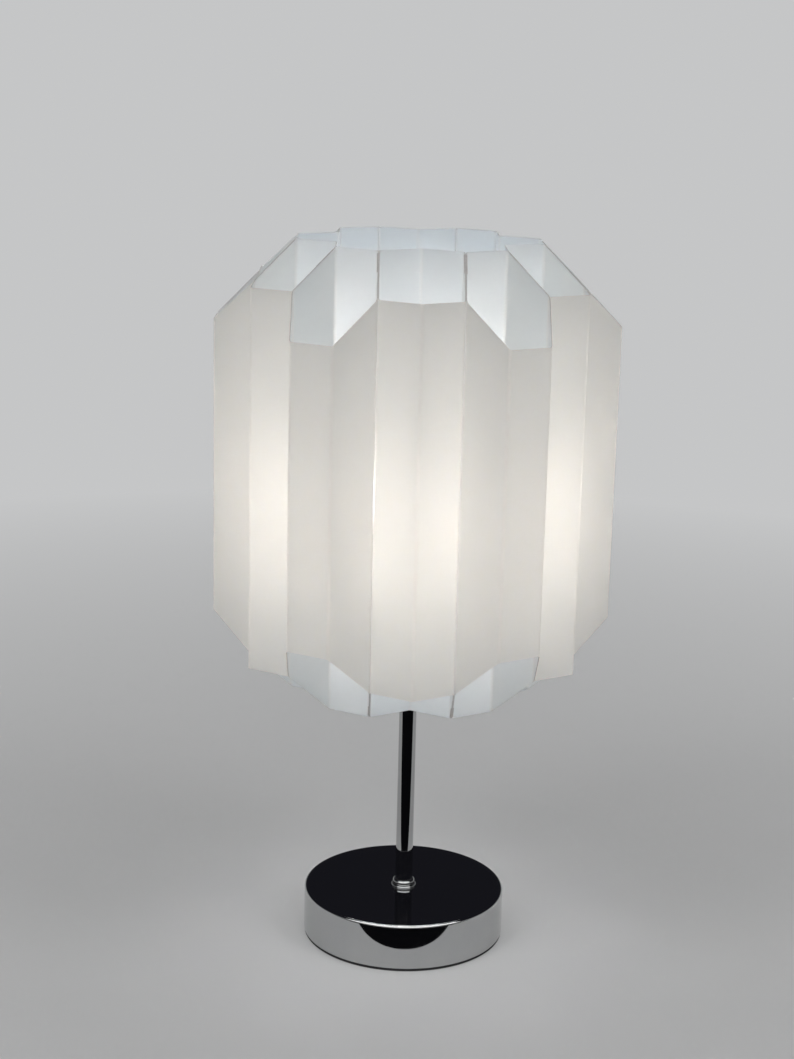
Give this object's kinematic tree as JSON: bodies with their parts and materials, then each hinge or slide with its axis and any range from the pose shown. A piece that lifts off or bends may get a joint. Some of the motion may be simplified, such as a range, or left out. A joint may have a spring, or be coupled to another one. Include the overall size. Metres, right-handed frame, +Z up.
{
  "type": "table lamp",
  "caption": "Lit table lamp: a stepped honeycomb shade of folded white paper flutes clamped to a lampholder on a slim chromed pole and a round weighted foot.",
  "frame": {"origin": "middle of the underside, on the surface that the lamp stands on", "axes": "+Z up along the pole; +Y out of the flex entry at the back; -Y is the front"},
  "size_m": [0.2684, 0.2472, 0.4905],
  "materials": {
    "shade_paper": "matte",
    "chrome": "polished",
    "foot_pad_foam": "matte",
    "weight_iron": "matte",
    "black_rubber": "satin",
    "zinc_steel": "satin",
    "brass": "satin",
    "white_plastic": "satin",
    "core_ceramic": "satin",
    "white_wire": "satin",
    "clip_plastic": "satin",
    "nickel": "satin",
    "bulb_insulator": "gloss",
    "bulb_housing": "satin",
    "bulb_board": "matte",
    "bulb_opal": "satin"
  },
  "bodies": {
    "stand": {"foot_pad": "foot_pad_foam", "base_weight": "weight_iron", "base_cover": "chrome", "cord_grommet": "black_rubber", "base_washer": "zinc_steel", "base_nut": "zinc_steel", "base_rod": "zinc_steel", "pole": "chrome", "pole_collar": "chrome", "holder_nipple": "zinc_steel", "holder_cap": "white_plastic", "holder_lock_screw": "zinc_steel", "holder_core": "core_ceramic", "terminal_screws": "brass", "centre_contact": "brass", "socket_sleeve": "brass", "holder_shell": "white_plastic"},
    "shade": {"side_flute_1": "shade_paper", "corner_flute_1": "shade_paper", "side_flute_2": "shade_paper", "corner_flute_2": "shade_paper", "side_flute_3": "shade_paper", "corner_flute_3": "shade_paper", "side_flute_4": "shade_paper", "corner_flute_4": "shade_paper", "side_flute_5": "shade_paper", "corner_flute_5": "shade_paper", "side_flute_6": "shade_paper", "corner_flute_6": "shade_paper", "carrier_ring": "white_wire", "carrier_arms": "white_wire", "carrier_hoop": "white_wire", "hoop_clips": "clip_plastic"},
    "clamp_ring": {"retaining_ring": "white_plastic"},
    "bulb": {"bulb_tip_contact": "nickel", "bulb_insulator": "bulb_insulator", "bulb_screw_shell": "nickel", "bulb_housing": "bulb_housing", "bulb_board": "bulb_board", "bulb_globe": "bulb_opal"}
  },
  "joints": [
    {"name": "shade_turn", "type": "hinge", "parent": "stand", "child": "shade", "pos_m": [0, 0, 0.241], "axis": [0, 0, 1], "continuous": true},
    {"name": "ring_turn", "type": "hinge", "parent": "stand", "child": "clamp_ring", "pos_m": [0, 0, 0.246], "axis": [0, 0, 1], "continuous": true},
    {"name": "bulb_turn", "type": "hinge", "parent": "stand", "child": "bulb", "pos_m": [0, 0, 0.25], "axis": [0, 0, 1], "continuous": true}
  ]
}
